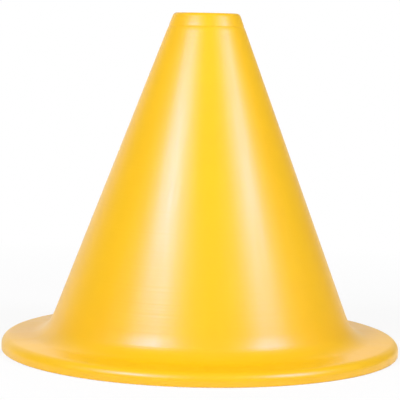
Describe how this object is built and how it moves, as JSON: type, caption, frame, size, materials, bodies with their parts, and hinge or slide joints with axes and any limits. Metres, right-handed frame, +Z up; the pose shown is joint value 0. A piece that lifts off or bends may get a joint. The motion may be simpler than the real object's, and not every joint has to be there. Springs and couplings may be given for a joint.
{
  "type": "sports marker cone",
  "caption": "Soft plastic field marker: a thin-walled cone on a round brim with a turned-down lip, hollow underneath for nesting, with a push-in cap at the tip.",
  "frame": {"origin": "middle of the footprint, on the ground", "axes": "+Z up the cone's axis; the cone is round, so X and Y have no special side"},
  "size_m": [0.271, 0.271, 0.229],
  "materials": {
    "shell_plastic": "satin moulded soft plastic, warm yellow",
    "cap_plastic": "satin moulded soft plastic, warm yellow"
  },
  "bodies": {
    "cone": {"cone_shell": "shell_plastic"},
    "cap": {"tip_cap": "cap_plastic"}
  },
  "joints": [
    {"name": "cap_pull", "type": "slide", "parent": "cone", "child": "cap", "axis": [0, 0, 1], "range_m": [0, 0.035]}
  ]
}
